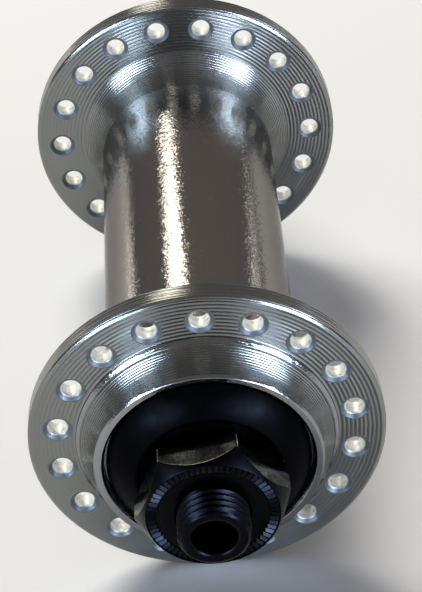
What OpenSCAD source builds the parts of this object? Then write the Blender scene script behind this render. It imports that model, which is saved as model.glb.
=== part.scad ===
// Bicycle front hub for a quick-release wheel: one-piece aluminium shell, cup-and-cone bearings.
// Millimetres. The axle lies along Y, the origin is the middle of the hub, +Z is up.
// The left end is the -Y end. Each half is drawn outwards along its own +Z, then turned into place.

/* [Axle] */
// Outside diameter of the axle's bare threaded ends
axle_d = 9; // [8.8:0.1:9.4]
// Diameter of the axle between its threads, and of the thread where a nut or cone holds it
thread_pitch_d = 8.35; // [7.8:0.05:8.5]
// Width over the lock nuts' faces, the fork's opening
over_locknut = 100; // [99:0.5:102]
// Bare thread that stands out of each lock nut
axle_standout = 4; // [2:0.5:7]
// Hole through the axle for the quick-release skewer
skewer_hole_d = 5.4; // [5:0.1:5.8]
// Countersink at each mouth of the skewer hole
skewer_mouth_d = 6.1; // [5.9:0.1:6.6]
// Chamfer on the axle's ends
axle_chamfer = 0.5; // [0.3:0.1:0.8]

/* [Spoke flanges] */
// Distance between the middles of the two flanges
flange_spacing = 69; // [64:0.5:70.5]
// Outside diameter of the flanges
flange_d = 45.4; // [44:0.2:58]
// Thickness of a flange
flange_t = 3; // [2.4:0.1:3.4]
// Chamfer on the flange's two rims
flange_chamfer = 0.35; // [0.2:0.05:0.6]
// Diameter of the circle through the spoke holes
spoke_circle_d = 38; // [37.4:0.2:39.6]
// Spoke holes in each flange
spokes_per_flange = 18; // [14:1:20]
// Diameter of a spoke hole
spoke_hole_d = 2.5; // [2.2:0.1:2.8]
// Countersink at both mouths of a spoke hole
spoke_countersink_d = 3.5; // [3:0.1:3.8]

/* [Hub shell] */
// Outside diameter of the barrel
barrel_d = 25.5; // [24:0.1:27]
// Inside diameter of the barrel
barrel_bore_d = 20.4; // [18.4:0.2:21.2]
// Diameter of the neck where it meets the flange's inner face
neck_d = 31; // [29.4:0.2:32]
// Length of the hollow curve from the barrel to the neck's edge
neck_length = 5.6; // [4:0.1:8]
// Height of the small step between the neck's edge and the flange
neck_step = 0.4; // [0.2:0.1:0.8]
// Diameter of the outer boss where it leaves the flange
boss_d = 33.4; // [32:0.1:34]
// Height of the small step between the flange and the boss's curve
boss_step = 0.35; // [0.2:0.05:0.6]
// Outside diameter of the lip round the dust cap
lip_d = 29; // [28.4:0.1:30]
// Inside diameter of the lip
lip_bore_d = 26.4; // [26.3:0.1:26.8]
// How far the lip stands out from the flange
lip_height = 5; // [4.7:0.1:5.6]
// Chamfer on the lip's edges
lip_chamfer = 0.3; // [0.15:0.05:0.4]

/* [Bearings] */
// Diameter of a bearing ball, 3/16 inch
ball_d = 4.7625; // [4.6:0.05:4.8]
// Balls in each bearing
balls_per_side = 10; // [8:1:10]
// Diameter of the circle that the balls run on
ball_circle_d = 17; // [16.8:0.1:17.2]
// From the lip's face in to the middle of the balls
ball_inset = 5.6; // [5.4:0.05:6]
// Radius of the grooves in the cup and the cone
race_r = 2.55; // [2.5:0.01:2.6]
// Angle of the line through a ball's two contacts
contact_angle = 45; // [38:1:50]
// Play between a ball and each of its grooves
ball_play = 0.04; // [0.02:0.01:0.06]
// Wall of the cup outside the balls
cup_wall = 1.4; // [1:0.05:1.5]
// Thickness of the cup's floor behind the balls
cup_floor = 1.2; // [0.8:0.1:1.6]
// Chamfer on the cup's leading edge
cup_chamfer = 0.4; // [0.2:0.05:0.6]
// Hole in the cup's floor
cup_hole_d = 18.2; // [17.4:0.1:19]
// How far the cup's mouth stands beyond the middle of the balls
cup_reach = 2.3; // [1.8:0.1:2.6]
// Sheet thickness of the ball retainer
retainer_t = 0.6; // [0.4:0.05:0.7]
// Running gap between the retainer's rim and the cup
retainer_gap = 0.3; // [0.2:0.05:0.4]
// How far the retainer's rim reaches in from the middle of the balls
retainer_rim = 0.7; // [0.4:0.1:1]
// From the middle of the balls out to the retainer's web
retainer_web_place = 1.6; // [1.4:0.1:1.7]
// Gap between the retainer's web and the cone's body
retainer_hole_gap = 0.2; // [0.15:0.05:0.5]
// Play between a ball and its pocket
pocket_play = 0.12; // [0.08:0.01:0.2]

/* [Cones] */
// Outside diameter of the cone's body
cone_d = 15.2; // [14.6:0.1:15.4]
// Diameter of the cone's nose inside the balls
cone_nose_d = 11.6; // [10.6:0.1:11.8]
// How far the nose reaches in from the middle of the balls
cone_nose = 2.2; // [1.2:0.1:3]
// Diameter of the cone's outer neck, which carries the dust cap
cone_neck_d = 14.4; // [13.8:0.1:14.5]
// Width over the two spanner flats on the outer neck
cone_flats = 13; // [12.6:0.1:13.4]
// From the lip's face in to the shoulder that the dust cap seats on
shoulder_inset = 0.4; // [0.2:0.05:0.6]

/* [Covers and seals] */
// Sheet thickness of the grease shield pressed into the shell
shield_t = 0.5; // [0.4:0.05:0.6]
// Outside diameter of the grease shield
shield_d = 25.6; // [25.3:0.05:25.8]
// Hole in the grease shield
shield_hole_d = 16.6; // [16:0.1:17]
// From the lip's face in to the back of the grease shield
shield_inset = 2.6; // [2.5:0.05:2.8]
// Depth of the grease shield's rim
shield_rim = 0.9; // [0.7:0.05:1]
// Gap between the seal ring's lip and the grease shield
seal_gap = 0.25; // [0.15:0.05:0.35]
// Outside diameter of the seal ring's lip
seal_d = 19.8; // [19:0.1:20.4]
// Thickness of the seal ring's lip at its edge
seal_lip_t = 0.25; // [0.15:0.05:0.35]
// How far the seal ring's body stands back from its lip
seal_step = 0.4; // [0.2:0.05:0.6]
// Running gap between the dust cap and the lip round it
cap_gap = 0.35; // [0.25:0.05:0.5]
// Gap between the dust cap's skirt and the grease shield's rim
skirt_gap = 0.35; // [0.25:0.05:0.5]
// How far the dust cap's rim lies below the lip's face
cap_sunk = 0.5; // [0.2:0.05:0.7]
// How far the dust cap's crown stands out beyond the lip's face
cap_crown = 2.2; // [1.8:0.1:2.6]
// Hole in the dust cap's crown, round the cone's flats
cap_hole_d = 18; // [17:0.1:19]
// Width of the flat ring round the dust cap's hole
cap_crown_width = 0.4; // [0.2:0.05:0.8]
// Wall of the dust cap
cap_wall = 0.8; // [0.6:0.05:0.9]
// Thickness of the dust cap's web, which grips the cone's neck
cap_web = 0.7; // [0.5:0.05:0.9]
// How far the dust cap's dome bulges beyond a straight cone
cap_dome = 0.25; // [0.1:0.05:0.5]

/* [Lock nuts] */
// Width over the flats of a lock nut
nut_flats = 17; // [16.5:0.5:18]
// Thickness of a lock nut
nut_t = 5.2; // [4.4:0.1:5.6]
// Diameter of the round face that grips the fork
nut_face_d = 16.5; // [14.6:0.1:16.6]
// Slope of the chamfer at the nut's back
nut_back_slope = 30; // [20:1:40]
// Slope of the longer chamfer that leads up to the nut's round face
nut_front_slope = 54; // [40:1:58]
// Countersink at the mouth of the nut's thread
nut_mouth = 0.5; // [0.3:0.05:0.8]
// Turn of the left nut's flats from level
left_nut_turn = -9.5; // [-30:0.5:30]
// Turn of the right nut's flats from level
right_nut_turn = 12; // [-30:1:30]
// Thickness of the lock washer
washer_t = 1.4; // [1:0.1:1.6]
// Outside diameter of the lock washer
washer_d = 15.2; // [14.6:0.1:16.4]
// Chamfer on the lock washer's edges
washer_chamfer = 0.25; // [0.1:0.05:0.4]

/* [Hidden] */
$fn = 96;

// How far a cut runs past the face that it starts from
eps = 0.01;
overshoot = 1;

// Places along the axle, measured outwards from the middle of the hub
locknut_face = over_locknut / 2;
axle_end = locknut_face + axle_standout;
nut_back = locknut_face - nut_t;
cone_end = nut_back - washer_t;
flange_out = (flange_spacing + flange_t) / 2;
flange_in = (flange_spacing - flange_t) / 2;
neck_edge = flange_in - neck_step;
neck_start = neck_edge - neck_length;
boss_start = flange_out + boss_step;
lip_face = flange_out + lip_height;
ball_place = lip_face - ball_inset;

// The ball and its two contacts. Each groove's centre is set back along the contact line.
ball_r = ball_d / 2;
circle_r = ball_circle_d / 2;
groove_shift = race_r - ball_r - ball_play;
cup_groove = [circle_r - groove_shift * cos(contact_angle), ball_place + groove_shift * sin(contact_angle)];
cone_groove = [circle_r + groove_shift * cos(contact_angle), ball_place - groove_shift * sin(contact_angle)];

// Cup and its seat
cup_inside_r = cup_groove[0] + race_r;
cup_r = cup_inside_r + cup_wall;
cup_back = cup_groove[1] - race_r - cup_floor;
cup_mouth = ball_place + cup_reach;

// Ball retainer: a rim outside the balls and a web beyond them
retainer_r = cup_inside_r - retainer_gap;
retainer_in = ball_place - retainer_rim;
retainer_web = ball_place + retainer_web_place;
retainer_hole_r = cone_d / 2 + retainer_hole_gap;
ball_step = 360 / balls_per_side;

// Grease shield, seal ring and dust cap, counted inwards from the lip's face
shield_r = shield_d / 2;
shield_back = lip_face - shield_inset;
shield_mouth = shield_back + shield_rim;
cap_rim = lip_face - cap_sunk;
cap_r = lip_bore_d / 2 - cap_gap;
cap_skirt = shield_mouth + skirt_gap;
cap_top = lip_face + cap_crown;
cone_shoulder = lip_face - shoulder_inset;
seal_back = shield_back + shield_t + seal_gap;
seal_body_r = (cone_d + seal_d) / 4 + seal_lip_t;

// The spanner flats start where the dust cap's web ends
flats_start = cone_shoulder + cap_web;
nut_corner_r = nut_flats / 2 / cos(30);

// The curve of radius r that leaves a straight side and gains depth over length
function curve_radius(depth, length) = (depth * depth + length * length) / (2 * depth);

function ball_names(side) = [for (i = [1 : balls_per_side]) str(side, "_ball_", i)];

// Turns a piece drawn outwards along +Z to face out of the left or the right end of the hub
module at_end(side) {
    rotate([0, 0, side == "left" ? 0 : 180])
        rotate([90, 0, 0])
            children();
}

// Revolves an outline of (radius, place along the axle) points
module turned() {
    rotate_extrude()
        children();
}

// A ring's outline between two radii and two places
module band(inner_r, outer_r, from, to) {
    translate([inner_r, from])
        square([outer_r - inner_r, to - from]);
}

// Hub shell
module neck_outline() {
    depth = (neck_d - barrel_d) / 2;
    bend = curve_radius(depth, neck_length);
    difference() {
        band(0, neck_d / 2, neck_start, neck_edge);
        translate([barrel_d / 2 + bend, neck_start])
            circle(r = bend);
    }
    band(0, neck_d / 2, neck_edge, flange_in);
}

module flange_outline() {
    r = flange_d / 2;
    c = flange_chamfer;
    polygon([
        [0, flange_in], [r - c, flange_in], [r, flange_in + c],
        [r, flange_out - c], [r - c, flange_out], [0, flange_out],
    ]);
}

module boss_outline() {
    depth = (boss_d - lip_d) / 2;
    curve_end = lip_face - lip_chamfer;
    bend = curve_radius(depth, curve_end - boss_start);
    band(0, boss_d / 2, flange_out, boss_start);
    difference() {
        band(0, boss_d / 2, boss_start, curve_end);
        translate([lip_d / 2 + bend, curve_end])
            circle(r = bend);
    }
    polygon([[0, curve_end], [lip_d / 2, curve_end], [lip_d / 2 - lip_chamfer, lip_face], [0, lip_face]]);
}

// Everything that is bored out of the shell: barrel, cup seat, shield seat and lip
module shell_bore_outline() {
    mouth_r = lip_bore_d / 2;
    band(0, barrel_bore_d / 2, -eps, cup_back + eps);
    band(0, cup_r, cup_back, shield_back + eps);
    band(0, shield_r, shield_back, shield_mouth + eps);
    band(0, mouth_r, shield_mouth, lip_face + eps);
    polygon([
        [0, lip_face - lip_chamfer], [mouth_r, lip_face - lip_chamfer],
        [mouth_r + lip_chamfer, lip_face], [mouth_r + lip_chamfer, lip_face + eps], [0, lip_face + eps],
    ]);
}

module shell_half_outline() {
    difference() {
        union() {
            band(0, barrel_d / 2, 0, neck_start + eps);
            neck_outline();
            flange_outline();
            boss_outline();
        }
        shell_bore_outline();
    }
}

// One spoke hole along the axle's direction, countersunk at both mouths
module spoke_hole() {
    sink = (spoke_countersink_d - spoke_hole_d) / 2;
    translate([0, 0, flange_in - eps])
        cylinder(d = spoke_hole_d, h = flange_t + 2 * eps);
    translate([0, 0, flange_in - eps])
        cylinder(d1 = spoke_countersink_d + 2 * eps, d2 = spoke_hole_d, h = sink + eps);
    translate([0, 0, flange_out - sink])
        cylinder(d1 = spoke_hole_d, d2 = spoke_countersink_d + 2 * eps, h = sink + eps);
}

// The first hole stands straight above the axle, and the right flange's holes lie between the left one's
module spoke_holes(side) {
    pitch = 360 / spokes_per_flange;
    turn = side == "left" ? 0 : pitch / 2;
    for (i = [0 : spokes_per_flange - 1])
        rotate([0, 0, turn + i * pitch])
            translate([0, spoke_circle_d / 2, 0])
                spoke_hole();
}

module hub_shell() {
    color("silver")
        difference() {
            rotate([90, 0, 0])
                turned() {
                    shell_half_outline();
                    mirror([0, 1])
                        shell_half_outline();
                }
            at_end("left")
                spoke_holes("left");
            at_end("right")
                spoke_holes("right");
        }
}

// Axle, hollow for the skewer, with bare thread beyond each lock nut
module axle_half_outline() {
    r = axle_d / 2;
    mouth = (skewer_mouth_d - skewer_hole_d) / 2;
    difference() {
        union() {
            band(0, thread_pitch_d / 2, 0, locknut_face + eps);
            polygon([
                [0, locknut_face], [r, locknut_face], [r, axle_end - axle_chamfer],
                [r - axle_chamfer, axle_end], [0, axle_end],
            ]);
        }
        band(0, skewer_hole_d / 2, -eps, axle_end + eps);
        polygon([
            [0, axle_end - mouth], [skewer_hole_d / 2, axle_end - mouth],
            [skewer_mouth_d / 2, axle_end], [skewer_mouth_d / 2, axle_end + eps], [0, axle_end + eps],
        ]);
    }
}

module axle() {
    color("dimgray")
        rotate([90, 0, 0])
            turned() {
                axle_half_outline();
                mirror([0, 1])
                    axle_half_outline();
            }
}

// Hardened cup pressed into the shell, with the outer groove for the balls
module bearing_cup(side) {
    c = cup_chamfer;
    color("gainsboro")
        at_end(side)
            turned()
                difference() {
                    polygon([
                        [cup_hole_d / 2, cup_back], [cup_r - c, cup_back], [cup_r, cup_back + c],
                        [cup_r, cup_mouth], [cup_hole_d / 2, cup_mouth],
                    ]);
                    translate(cup_groove)
                        circle(r = race_r);
                    band(0, cup_inside_r, cup_groove[1], cup_mouth + eps);
                }
}

// One bearing ball of a side
module bearing_ball(side, number) {
    color("white")
        at_end(side)
            rotate([0, 0, (number - 1) * ball_step])
                translate([0, circle_r, ball_place])
                    sphere(d = ball_d);
}

// Pressed ring with a rim outside the balls and a slotted web beyond them, cut to a round pocket at each ball
module ball_retainer(side) {
    color("goldenrod")
        at_end(side)
            difference() {
                turned() {
                    band(retainer_r - retainer_t, retainer_r, retainer_in, retainer_web + retainer_t);
                    band(retainer_hole_r, retainer_r, retainer_web, retainer_web + retainer_t);
                }
                for (i = [0 : balls_per_side - 1])
                    rotate([0, 0, i * ball_step])
                        translate([0, circle_r, ball_place])
                            sphere(r = ball_r + pocket_play);
            }
}

// Cone screwed on the axle: nose, inner groove, body, and a neck with two spanner flats
module cone(side) {
    inner_r = thread_pitch_d / 2;
    color("darkgray")
        at_end(side)
            difference() {
                turned()
                    difference() {
                        union() {
                            band(inner_r, cone_nose_d / 2, ball_place - cone_nose, ball_place + eps);
                            band(inner_r, cone_d / 2, ball_place, cone_shoulder);
                            band(inner_r, cone_neck_d / 2, cone_shoulder - eps, cone_end);
                        }
                        translate(cone_groove)
                            circle(r = race_r);
                    }
                for (turn = [0, 180])
                    rotate([0, 0, turn])
                        translate([-cone_neck_d, cone_flats / 2, flats_start])
                            cube([2 * cone_neck_d, cone_neck_d, cone_end - flats_start + overshoot]);
            }
}

// Pressed steel cover in the shell that keeps the grease with the balls
module grease_shield(side) {
    color("slategray")
        at_end(side)
            turned() {
                band(shield_hole_d / 2, shield_r, shield_back, shield_back + shield_t);
                band(shield_r - shield_t, shield_r, shield_back, shield_mouth);
            }
}

// Rubber ring on the cone, its lip leaning towards the grease shield
module seal_ring(side) {
    color("dimgray")
        at_end(side)
            turned()
                polygon([
                    [cone_d / 2, seal_back + seal_step], [seal_body_r - seal_lip_t, seal_back + seal_step],
                    [seal_d / 2 - seal_lip_t, seal_back], [seal_d / 2, seal_back + seal_lip_t / 2],
                    [seal_body_r + seal_lip_t, cone_shoulder], [cone_d / 2, cone_shoulder],
                ]);
}

// Black cap on the cone's neck: skirt inside the lip, domed crown, and a well round the spanner flats.
// The dome is an arc through the rim and the crown that stands cap_dome proud of the straight line.
module dust_cap(side) {
    well_r = cap_hole_d / 2;
    crown_r = well_r + cap_crown_width;
    run = cap_r - crown_r;
    rise = cap_top - cap_rim;
    chord = norm([run, rise]);
    dome_r = curve_radius(cap_dome, chord / 2);
    middle = [(cap_r + crown_r) / 2, (cap_rim + cap_top) / 2];
    dome_centre = middle - (dome_r - cap_dome) * [rise, run] / chord;
    color([0.05, 0.05, 0.055])
        at_end(side)
            turned() {
                intersection() {
                    band(well_r, cap_r, cap_skirt, cap_top);
                    difference() {
                        translate(dome_centre)
                            circle(r = dome_r);
                        difference() {
                            translate(dome_centre)
                                circle(r = dome_r - cap_wall);
                            band(0, well_r + cap_wall, cone_shoulder, cap_top);
                            band(cap_r - cap_wall, cap_r, cap_skirt, cap_top);
                        }
                    }
                }
                band(cone_neck_d / 2, well_r + cap_wall, cone_shoulder, cone_shoulder + cap_web);
            }
}

module lock_washer(side) {
    r = washer_d / 2;
    c = washer_chamfer;
    color("dimgray")
        at_end(side)
            turned()
                polygon([
                    [thread_pitch_d / 2, cone_end], [r - c, cone_end], [r, cone_end + c],
                    [r, nut_back - c], [r - c, nut_back], [thread_pitch_d / 2, nut_back],
                ]);
}

// Hexagon nut with a short chamfer at its back and a long one up to the round face that grips the fork
module lock_nut(side) {
    turn = side == "left" ? left_nut_turn : right_nut_turn;
    face_r = nut_face_d / 2;
    wide_r = nut_corner_r + eps;
    back_fall = (wide_r - face_r) * tan(nut_back_slope);
    front_fall = (wide_r - face_r) * tan(nut_front_slope);
    bore_r = thread_pitch_d / 2;
    color([0.06, 0.06, 0.065])
        at_end(side)
            difference() {
                intersection() {
                    rotate([0, 0, -turn])
                        translate([0, 0, nut_back])
                            cylinder(r = nut_corner_r, h = nut_t, $fn = 6);
                    turned()
                        polygon([
                            [0, nut_back], [face_r, nut_back], [wide_r, nut_back + back_fall],
                            [wide_r, locknut_face - front_fall], [face_r, locknut_face], [0, locknut_face],
                        ]);
                }
                translate([0, 0, nut_back - overshoot])
                    cylinder(r = bore_r, h = nut_t + 2 * overshoot);
                translate([0, 0, locknut_face - nut_mouth])
                    cylinder(r1 = bore_r, r2 = bore_r + nut_mouth + eps, h = nut_mouth + eps);
            }
}

hub_shell();
axle();
for (side = ["left", "right"]) {
    bearing_cup(side);
    ball_retainer(side);
    cone(side);
    grease_shield(side);
    seal_ring(side);
    dust_cap(side);
    lock_washer(side);
    lock_nut(side);
    for (number = [1 : balls_per_side])
        bearing_ball(side, number);
}
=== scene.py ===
# Bicycle front hub: finishes, fine shapes, floor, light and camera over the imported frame.
# Named sizes are in millimetres. Places along the axle are counted outwards from the middle of the hub.
import math

import bmesh
import bpy
from mathutils import Matrix, Vector


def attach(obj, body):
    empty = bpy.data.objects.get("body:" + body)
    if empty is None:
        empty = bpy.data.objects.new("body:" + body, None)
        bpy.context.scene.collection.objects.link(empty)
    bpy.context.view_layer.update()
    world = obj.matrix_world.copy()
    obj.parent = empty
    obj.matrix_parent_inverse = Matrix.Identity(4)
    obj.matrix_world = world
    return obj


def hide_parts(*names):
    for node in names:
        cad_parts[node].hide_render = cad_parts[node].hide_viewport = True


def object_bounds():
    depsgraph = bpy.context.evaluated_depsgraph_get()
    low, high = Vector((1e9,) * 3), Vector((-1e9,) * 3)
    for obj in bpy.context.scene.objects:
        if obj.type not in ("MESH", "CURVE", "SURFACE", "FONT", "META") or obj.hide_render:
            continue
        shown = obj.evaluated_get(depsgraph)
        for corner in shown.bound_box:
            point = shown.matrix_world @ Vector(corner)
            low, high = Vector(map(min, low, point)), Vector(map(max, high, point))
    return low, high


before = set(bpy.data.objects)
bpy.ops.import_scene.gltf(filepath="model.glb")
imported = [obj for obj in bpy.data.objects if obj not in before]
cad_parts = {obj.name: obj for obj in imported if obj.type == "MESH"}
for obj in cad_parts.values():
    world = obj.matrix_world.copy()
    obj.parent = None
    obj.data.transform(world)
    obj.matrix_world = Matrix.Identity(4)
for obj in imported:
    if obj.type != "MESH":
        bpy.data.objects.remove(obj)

CAD_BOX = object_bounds()
MM = 0.001
SIDES = {"left": -1, "right": 1}

# Axle and nut sizes
AXLE_R = 4.5
HELD_R = 4.15
AXLE_END = 54.0
AXLE_CHAMFER = 0.5
SKEWER_R = 2.7
MOUTH_BEVEL = 0.35
THREAD_START = 49.2
THREAD_PITCH = 1.0
THREAD_DEPTH = 0.61
NUT_FACE = 50.0
NUT_BACK = 44.8
NUT_FLATS = 17.0
NUT_CORNER_R = 0.3
NUT_BORE_R = 4.2
NUT_MOUTH_R = 4.75
NUT_FACE_R = 8.25
NUT_BACK_SLOPE = math.tan(math.radians(30))
NUT_FRONT_SLOPE = math.tan(math.radians(54))
NUT_TURN = {"left": -9.5, "right": -12.0}
FLATS_BRIGHT_START = 47.1
WASHER_R = 7.6
WASHER_BORE_R = 4.18
WASHER_BACK = 43.4
WASHER_BEVEL = 0.25

# Hub shell sizes
HOLES = 18
HOLE_CIRCLE_R = 19.0
HOLE_TURN = {"left": 0.0, "right": 10.0}
HOLE_R = 1.25
COUNTERSINK_R = 1.75
COUNTERSINK_DEPTH = 0.5
BARREL_R = 12.75
BARREL_END = 27.0
BARREL_BORE_R = 10.2
NECK_R = 15.5
NECK_END = 32.6
NECK_ARC_R = 7.077
FLANGE_IN = 33.0
FLANGE_OUT = 36.0
FLANGE_R = 22.7
FLANGE_BEVEL = 0.35
BOSS_R = 16.7
BOSS_START = 36.35
BOSS_FOOT = 36.9
BOSS_ARC_R = 5.401
LIP_R = 14.5
LIP_BORE_R = 13.2
LIP_FACE = 41.0
LIP_BEVEL = 0.3
SHIELD_SEAT_R = 12.8
SHIELD_MOUTH = 39.3
SHIELD_BACK = 38.4
CUP_R = 12.36
CUP_BACK = 31.74

# Dust cap sizes
CAP_R = 12.85
CAP_FOOT = 39.65
CAP_EDGE = 40.5
CAP_CROWN_R = 9.4
CAP_CROWN = 43.2
CAP_DOME_R = 9.72
CAP_HOLE_R = 9.0
CAP_BORE_R = 7.2
CAP_WEB_FRONT = 41.3
CAP_WEB_BACK = 40.6
CAP_WALL = 0.8


# Outlines of turned pieces
FILLET_SHARE = 0.45


def rounded(corners, closed=False, steps=3, hold=0.06):
    """Outline through (radius, place, fillet) corners. A fillet becomes an arc, with a point kept
    beside it so that the flat next to it stays flat when it is shaded. It takes at most FILLET_SHARE
    of the shorter side."""
    points = []
    count = len(corners)
    for i, (r, s, fillet) in enumerate(corners):
        here = Vector((r, s))
        if fillet <= 0 or (not closed and i in (0, count - 1)):
            points.append(here)
            continue
        before = Vector(corners[i - 1][:2]) - here
        after = Vector(corners[(i + 1) % count][:2]) - here
        room = FILLET_SHARE * min(before.length, after.length)
        before.normalize()
        after.normalize()
        half = before.angle(after) / 2
        back = min(fillet / math.tan(half), room)
        radius = back * math.tan(half)
        middle = here + (before + after).normalized() * (radius / math.sin(half))
        start, end = here + before * back - middle, here + after * back - middle
        turn = math.atan2(start.x * end.y - start.y * end.x, start.dot(end))
        if room > back + hold:
            points.append(here + before * (back + hold))
        for step in range(steps + 1):
            a = turn * step / steps
            c, d = math.cos(a), math.sin(a)
            points.append(middle + Vector((start.x * c - start.y * d, start.x * d + start.y * c)))
        if room > back + hold:
            points.append(here + after * (back + hold))
    return [tuple(p) for p in points]


def arc(start, end, radius, steps):
    """Points of an arc between two outline points. A radius above 0 bulges away from the axle, below 0
    towards it."""
    a, b = Vector(start), Vector(end)
    chord = b - a
    side = Vector((chord.y, -chord.x)).normalized()
    if side.x < 0:
        side = -side
    half = chord.length / 2
    middle = (a + b) / 2 - side * math.copysign(math.sqrt(radius * radius - half * half), radius)
    u, v = a - middle, b - middle
    turn = math.atan2(u.x * v.y - u.y * v.x, u.dot(v))
    points = []
    for step in range(steps + 1):
        t = turn * step / steps
        c, d = math.cos(t), math.sin(t)
        points.append((middle.x + u.x * c - u.y * d, middle.y + u.x * d + u.y * c))
    return points


def spaced(start, end, gap):
    """Evenly spaced outline points from start to end, no further apart than gap."""
    a, b = Vector(start), Vector(end)
    count = max(1, math.ceil((b - a).length / gap))
    return [tuple(a.lerp(b, i / count)) for i in range(count + 1)]


# Meshes
def place(radius, along, angle, side):
    """A point at a radius, a place along the axle and an angle from straight up, in metres."""
    return Vector((radius * math.sin(angle), side * along, radius * math.cos(angle))) * MM


def piece_of(name, mesh):
    """An object at the origin that holds the mesh."""
    piece = bpy.data.objects.new(name, mesh)
    bpy.context.scene.collection.objects.link(piece)
    return piece


def outward(mesh, weld=2e-7):
    """Welds doubles and points every face out."""
    work = bmesh.new()
    work.from_mesh(mesh)
    bmesh.ops.remove_doubles(work, verts=work.verts, dist=weld)
    bmesh.ops.recalc_face_normals(work, faces=work.faces)
    work.to_mesh(mesh)
    work.free()
    mesh.update()


def smooth(mesh, sharp_over=38):
    """Shades the mesh smooth, with edges over this many degrees left sharp."""
    mesh.shade_smooth()
    mesh.set_sharp_from_angle(angle=math.radians(sharp_over))


def turned(name, outline, side, segments):
    """Mesh of a closed outline turned about the axle."""
    return columns(name, lambda angle: outline, [math.tau * i / segments for i in range(segments)], side)


def columns(name, outline_at, angles, side):
    """Mesh of a closed outline that may change with the angle, one column of points for each angle."""
    points, faces = [], []
    for angle in angles:
        outline = outline_at(angle)
        points += [place(r, s, angle, side) for r, s in outline]
    high, wide = len(outline), len(angles)
    for i in range(wide):
        for j in range(high):
            a, b = i * high, (i + 1) % wide * high
            k = (j + 1) % high
            faces.append((a + j, b + j, b + k, a + k))
    mesh = bpy.data.meshes.new(name)
    mesh.from_pydata(points, [], faces)
    outward(mesh)
    return mesh


# Geometry nodes
def new_tree(name, inputs):
    """A geometry node tree with named inputs. Returns the tree, its input and output nodes."""
    tree = bpy.data.node_groups.new(name, "GeometryNodeTree")
    tree.is_modifier = True
    face = tree.interface
    face.new_socket("Geometry", in_out="INPUT", socket_type="NodeSocketGeometry")
    for label, kind in inputs:
        face.new_socket(label, in_out="INPUT", socket_type="NodeSocket" + kind)
    face.new_socket("Geometry", in_out="OUTPUT", socket_type="NodeSocketGeometry")
    return tree, tree.nodes.new("NodeGroupInput"), tree.nodes.new("NodeGroupOutput")


def link(tree, source, target):
    tree.links.new(source, target)


def calc(tree, operation, *values):
    """A Math node. Each value is a socket or a number."""
    node = tree.nodes.new("ShaderNodeMath")
    node.operation = operation
    for socket, value in zip(node.inputs, values):
        if isinstance(value, (int, float)):
            socket.default_value = value
        else:
            link(tree, value, socket)
    return node.outputs[0]


def clamped(result):
    """Keeps a Math node's result between 0 and 1."""
    result.node.use_clamp = True
    return result


def from_axle(tree, x, z):
    """Distance from the axle's middle line."""
    return calc(tree, "SQRT", calc(tree, "MULTIPLY_ADD", x, x, calc(tree, "MULTIPLY", z, z)))


def around_tree():
    """Sets copies of a piece evenly round the axle, welds them and gives them their finishes."""
    tree, start, end = new_tree("around_the_axle", [
        ("Copies", "Int"), ("First Turn", "Float"), ("Weld", "Float"), ("Finish", "Material"),
        ("Second Finish", "Material"), ("Third Finish", "Material")])
    one = tree.nodes.new("GeometryNodeGeometryToInstance")
    many = tree.nodes.new("GeometryNodeDuplicateElements")
    many.domain = "INSTANCE"
    step = calc(tree, "DIVIDE", math.tau, start.outputs["Copies"])
    angle = calc(tree, "MULTIPLY_ADD", many.outputs["Duplicate Index"], step, start.outputs["First Turn"])
    about = tree.nodes.new("ShaderNodeCombineXYZ")
    turn = tree.nodes.new("GeometryNodeRotateInstances")
    turn.inputs["Local Space"].default_value = False
    real = tree.nodes.new("GeometryNodeRealizeInstances")
    weld = tree.nodes.new("GeometryNodeMergeByDistance")
    link(tree, start.outputs["Geometry"], one.inputs[0])
    link(tree, one.outputs[0], many.inputs["Geometry"])
    link(tree, start.outputs["Copies"], many.inputs["Amount"])
    link(tree, many.outputs["Geometry"], turn.inputs["Instances"])
    link(tree, angle, about.inputs["Y"])
    link(tree, about.outputs[0], turn.inputs["Rotation"])
    link(tree, turn.outputs[0], real.inputs[0])
    link(tree, real.outputs[0], weld.inputs["Geometry"])
    link(tree, start.outputs["Weld"], weld.inputs["Distance"])
    last = weld.outputs[0]
    for label in ("Finish", "Second Finish", "Third Finish"):
        paint = tree.nodes.new("GeometryNodeSetMaterial")
        link(tree, last, paint.inputs["Geometry"])
        link(tree, start.outputs[label], paint.inputs["Material"])
        if label != "Finish":
            mark = tree.nodes.new("GeometryNodeInputNamedAttribute")
            mark.data_type = "BOOLEAN"
            mark.inputs["Name"].default_value = label
            link(tree, mark.outputs["Attribute"], paint.inputs["Selection"])
        last = paint.outputs[0]
    link(tree, last, end.inputs[0])
    return tree


# Over half a pitch the thread falls from crest to root, with a narrow flat at both. Only points
# above BELOW_ROOT depths under the crest move.
FLANK_SLOPE = 2.6
CREST_FLAT = 0.15
BELOW_ROOT = 1.02


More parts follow.
